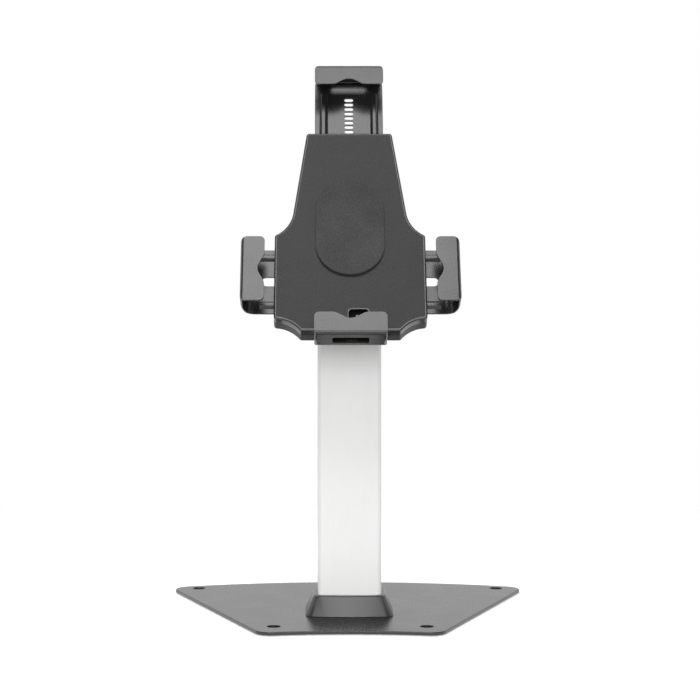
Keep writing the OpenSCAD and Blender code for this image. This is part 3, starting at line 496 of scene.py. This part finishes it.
def piece_from(bm, name, node, slot, upright=False, crease_deg=42):
    if upright:
        bm.transform(lean_back)
        bm.normal_update()
    mesh = bpy.data.meshes.new(name)
    bm.to_mesh(mesh)
    faces, volume_m3 = len(bm.faces), bm.calc_volume()
    bm.free()
    mesh.shade_smooth()
    mesh.set_sharp_from_angle(angle=math.radians(crease_deg))
    mesh.materials.append(FINISH_OF[slot])
    piece = bpy.data.objects.new(name, mesh)
    bpy.context.scene.collection.objects.link(piece)
    even = piece.modifiers.new("even_shading", "WEIGHTED_NORMAL")
    even.mode = "FACE_AREA"
    even.keep_sharp = True
    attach(piece, BODY_OF[node])
    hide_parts(node)
    print(f"{name}: {faces} faces, {volume_m3 * 1e6:.2f} cm3")
    return piece


print("bodies:", sorted(set(BODY_OF.values())))

# %% [markdown]
# ## The base plate
# A 3 mm plate cut by laser, then deburred and coated, so its rims are soft to the
# touch. The top rim is what the camera sees: at 0.7 mm it draws a fine line of light
# round the plate. The four seats of the desk bolts are the widest rings after the
# outline. They get a much smaller radius, and they are rounded first, while the
# outline is still a sharp ring that is easy to tell from them. A rubber mat lies
# under the plate.

# %% Round the plate and its mat
PLATE_TOP, PLATE_UNDERSIDE, MAT_UNDERSIDE = 4, 1, 0
plate = bench_copy("base_plate")
bolt_seats = rings(hard_edges(plate, pick=at("z", PLATE_TOP)))[1:5]
print("edges round the seats of the desk bolts:", [len(seat) for seat in bolt_seats])
round_off(plate, [edge for seat in bolt_seats for edge in seat], radius_mm=0.25, steps=2)
round_off(plate, rings(hard_edges(plate, pick=at("z", PLATE_TOP)))[0], radius_mm=0.7)
round_off(plate, rings(hard_edges(plate, pick=at("z", PLATE_UNDERSIDE)))[0], radius_mm=0.2, steps=2)
piece_from(plate, "base_plate_coated", "base_plate", "powder_black")
mat_copy = bench_copy("base_mat")
mat_rim = rings(hard_edges(mat_copy, pick=at("z", MAT_UNDERSIDE)))[0]
round_off(mat_copy, mat_rim, radius_mm=0.3, steps=2)
piece_from(mat_copy, "base_mat_rubber", "base_mat", "rubber")

# %% [markdown]
# ## The shroud at the column's foot
# It is a thin moulding. A moulder rounds its top rim, so that it releases from the
# tool and doesn't cut a finger, and leaves its bottom rim crisp against the plate.

# %% Round the shroud
SHROUD_TOP = 23
shroud = bench_copy("foot_shroud")
round_off(shroud, rings(hard_edges(shroud, pick=at("z", SHROUD_TOP)))[0], radius_mm=1.3, steps=4)
shroud_foot = rings(hard_edges(shroud, least_deg=20, pick=at("z", PLATE_TOP)))[0]
round_off(shroud, shroud_foot, radius_mm=0.3, steps=2)
piece_from(shroud, "foot_shroud_moulded", "foot_shroud", "plastic_black", crease_deg=50)

# %% [markdown]
# ## The holder's front cover
# This is the face that everyone sees. Its outline has the largest radius of all. It
# asks for 2.3 mm and gets about 1.4 mm, because its corners have short edges. In the
# photograph that shows as a dark edge with one thin light line in it. The window is
# cut through a flat wall, so its rim is only just broken. The rim at the back is
# softened too, because two rounded rims side by side are what makes a parting line
# visible.

# %% Round the front cover
FACE, PARTING = 0, 9.6
cover = bench_copy("front_cover", upright=True)
face_rings = rings(hard_edges(cover, pick=at("y", FACE)))
print("rings on the face:", [len(ring) for ring in face_rings])
round_off(cover, face_rings[0], radius_mm=2.3, steps=6)
window_rim = rings(hard_edges(cover, pick=at("y", FACE)))[-1]
round_off(cover, window_rim, radius_mm=0.4, steps=2)
round_off(cover, rings(hard_edges(cover, pick=at("y", PARTING)))[0], radius_mm=0.6)

# %% [markdown]
# ## The groove in the face
# A fine groove runs just inside the rim, and the spark-eroded grain stops at it. Two
# insets press it into the flat panel: the first steps in and down, and the second
# steps in and up again by as much. The panel keeps the grain, and every other face
# takes a second material, a smooth and shinier plastic.

# %% Press the groove
GROOVE_WALL_MM, GROOVE_DEEP_MM = 0.3, 0.35
panel = [f for f in cover.faces
         if all(abs(v.co.y) < 2 * LEVEL_MM * MM for v in f.verts) and f.normal.y < -PARALLEL]
for sunk in (-GROOVE_DEEP_MM, GROOVE_DEEP_MM):
    bmesh.ops.inset_region(cover, faces=panel, thickness=GROOVE_WALL_MM * MM, depth=sunk * MM,
                           use_even_offset=True)
grained = set(panel)
for face in cover.faces:
    face.material_index = 0 if face in grained else 1
cover_piece = piece_from(cover, "front_cover_grained", "front_cover", "plastic_textured",
                         upright=True)
cover_piece.data.materials.append(FINISH_OF["plastic_rim"])
print("flat faces of the panel:", len(panel), "and smooth faces round it:",
      sum(p.material_index for p in cover_piece.data.polygons))

# %% [markdown]
# ## The rear shell
# The back half is the same moulding job, mirrored: a soft outer rim, which comes out
# at about 1 mm, a small radius at the parting line, and plain sharp holes for the
# screws. The arms' openings break the parting line into four stretches.

# %% Round the rear shell
SHELL_BACK = 21
shell = bench_copy("rear_shell", upright=True)
round_off(shell, rings(hard_edges(shell, pick=at("y", SHELL_BACK)))[0], radius_mm=2.0, steps=4)
stretches = rings(hard_edges(shell, least_deg=60, pick=at("y", PARTING)))[:4]
print("edges round each stretch of the parting line:", [len(run) for run in stretches])
round_off(shell, [edge for run in stretches for edge in run], radius_mm=0.35, steps=2)
piece_from(shell, "rear_shell_grained", "rear_shell", "plastic_textured", upright=True)

# %% [markdown]
# ## The arms and claws
# Each arm is one strip of steel with two pressed ribs and a claw bent at its end.
# Steel that was pressed has a generous radius along the ribs, so the long rib lines
# are rounded first. Next come the two widest rings of sharp edges, the strip's
# outline and the front of its lip, and last everything that is still sharp. The
# arms' bends have very short edges, so these two stay far below the radius that they
# ask for: the edges are broken rather than round. They also leave thousands of
# slivers thinner than half a thousandth of a millimetre. No one could ever see
# those, so they are dissolved again, all but a few dozen.

# %% Round the arms
SHORTEST_RIB_MM = 8
RIB_DEG = (50, 70)
SLIVER_MM = 0.0005


def along(axis):
    """Picks the long straight edges that run along an axis."""
    def pick(edge):
        run = edge.verts[1].co - edge.verts[0].co
        return run.length > SHORTEST_RIB_MM * MM and abs(getattr(run.normalized(), axis)) > PARALLEL
    return pick


def formed_arm(node, axis):
    arm = bench_copy(node, upright=True)
    round_off(arm, hard_edges(arm, *RIB_DEG, pick=along(axis)), radius_mm=0.8)
    sharp = rings(hard_edges(arm, least_deg=60))
    print(node, "has rings of", [len(ring) for ring in sharp[:2]], "edges round its outline")
    round_off(arm, sharp[0] + sharp[1], radius_mm=0.7, steps=4)
    round_off(arm, hard_edges(arm, least_deg=60), radius_mm=0.4)
    bmesh.ops.dissolve_degenerate(arm, dist=SLIVER_MM * MM, edges=arm.edges)
    piece_from(arm, node + "_formed", node, "arm_black", upright=True)


for node, axis in (("top_arm", "z"), ("left_arm", "x"), ("right_arm", "x"), ("bottom_arm", "z")):
    formed_arm(node, axis)

# %% [markdown]
# ## The foam pad
# The pad keeps the tablet's back off the plastic. It is die-cut from a sheet, so its
# outline is a plain stadium, and it is softly pressed at its rim. It starts from a
# circle of points. The upper half moves up and the lower half down, and the face is
# pulled out to the pad's thickness.

# %% Cut the pad
PAD_W, PAD_H, PAD_T, PAD_CROWN = 63, 99.5, 3.5, 0.25
PAD_RIM_DEPTH = PAD_T - PAD_CROWN
pad = bmesh.new()
bmesh.ops.create_circle(pad, cap_ends=True, segments=128, radius=PAD_W / 2 * MM)
bmesh.ops.rotate(pad, verts=pad.verts, matrix=Matrix.Rotation(math.radians(90), 3, "X"))
shift_up = (PAD_H - PAD_W) / 2 * MM
for side in (1, -1):
    half = [v for v in pad.verts if side * v.co.z > LEVEL_MM * MM]
    bmesh.ops.translate(pad, verts=half, vec=(0, 0, side * shift_up))
pulled = bmesh.ops.extrude_face_region(pad, geom=pad.faces[:])
front = [v for v in pulled["geom"] if isinstance(v, bmesh.types.BMVert)]
bmesh.ops.translate(pad, verts=front, vec=(0, -PAD_RIM_DEPTH * MM, 0))
bmesh.ops.recalc_face_normals(pad, faces=pad.faces)
round_off(pad, hard_edges(pad, least_deg=60, pick=at("y", -PAD_RIM_DEPTH)), radius_mm=0.45)
print("pad before its crown:", len(pad.faces), "faces")

# %% [markdown]
# ## The crown of the pad
# Foam that was cut from a sheet stands highest in the middle. A few insets give the
# flat face rings of points, and each point rises by how near it is to the middle
# line.

# %% Crown the pad
INSETS, INSET_MM = 5, 5
face = min(pad.faces, key=lambda f: f.calc_center_median().y - f.calc_area())
for _ in range(INSETS):
    bmesh.ops.inset_region(pad, faces=[face], thickness=INSET_MM * MM, use_even_offset=True)
for vert in pad.verts:
    if vert.co.y < -(PAD_RIM_DEPTH - LEVEL_MM) * MM:
        flat = Vector((vert.co.x, 0, max(0, abs(vert.co.z) - shift_up)))
        vert.co.y -= PAD_CROWN * MM * max(0, 1 - (flat.length / (PAD_W / 2 * MM)) ** 2)
pad_piece = piece_from(pad, "face_pad_foam", "face_pad", "foam", upright=True, crease_deg=60)

# %% [markdown]
# ## The linings
# A soft strip is glued inside each claw. It is cut from rubber sheet, so it is a
# plain strip whose edges have gone slightly round.

# %% Soften the linings
for node in ("top_lining", "left_lining", "right_lining", "bottom_lining"):
    strip = bench_copy(node, upright=True)
    round_off(strip, hard_edges(strip, least_deg=60), radius_mm=0.45)
    piece_from(strip, node + "_soft", node, "rubber", upright=True)

# %% [markdown]
# ## The joint behind the holder
# A folded yoke stands on the column, and a bracket with two lugs hangs between its
# ears. Both are cut from thicker steel. Their edges, and those of the turning disc,
# bolts and nuts, the clamp screws and the lock, are broken by a few tenths of a
# millimetre.

# %% Break the edges of the steel parts
# node: its finish and its edge radius in mm
STEEL = {
    "tilt_yoke": ("powder_black", 0.6), "tilt_bracket": ("powder_black", 0.6),
    "rotation_disc": ("powder_black", 0.4), "pivot_bolt": ("steel_dark", 0.5),
    "rotation_bolt": ("steel_dark", 0.4), "pivot_nut": ("steel_zinc", 0.5),
    "rotation_nut": ("steel_zinc", 0.5), "clamp_screws": ("steel_dark", 0.3),
    "lock_barrel": ("lock_chrome", 0.5), "lock_plunger": ("lock_chrome", 0.25),
    "lock_core": ("lock_core", 0.2),
}
for node, (slot, radius) in STEEL.items():
    part = bench_copy(node)
    round_off(part, hard_edges(part, least_deg=50), radius, steps=2)
    piece_from(part, node + "_finished", node, slot)

# %% [markdown]
# ## Screws that a washer turns over
# Four countersunk screws hold the turning disc, and a washer turns right across their
# heads. Heads that were exactly flush would drag on it, so a fitter drives them a
# hair below the surface, and so does this copy.

# %% Sink the disc's screws
DISC_BACK = 24
SUNK_MM = 0.05
driven = bench_copy("disc_screws", upright=True)
heads = [v for v in driven.verts if v.co.y > (DISC_BACK - LEVEL_MM) * MM]
bmesh.ops.translate(driven, verts=heads, vec=(0, -SUNK_MM * MM, 0))
print("points moved on the heads:", len(heads))
piece_from(driven, "disc_screws_driven", "disc_screws", "steel_zinc", upright=True)

# %% [markdown]
# ## What stays as the CAD gave it
# Screws, washers and the parts sealed inside the body keep their exact CAD shape.
# They still need a finish, because a joint may bring them into view. The white
# column stays too: its corners are rounded in its own outline already.

# %% Dress the CAD bodies that stay
STAYS = {
    "column": "column_white", "column_foot_screws": "steel_zinc", "yoke_screws": "steel_zinc",
    "pivot_washers": "nylon", "pivot_spacer": "steel_zinc", "rotation_washers": "nylon",
    "cover_screws": "steel_zinc", "bottom_arm_screws": "steel_zinc",
    "clamp_nut_bars": "steel_zinc", "lock_ring_nut": "steel_zinc", "lock_spring": "steel_zinc",
}
for node, slot in STAYS.items():
    body = frame["nodes"][node]
    body.data.materials.clear()
    body.data.materials.append(FINISH_OF[slot])
print("kept as CAD:", len(STAYS), "of", len(frame["nodes"]))
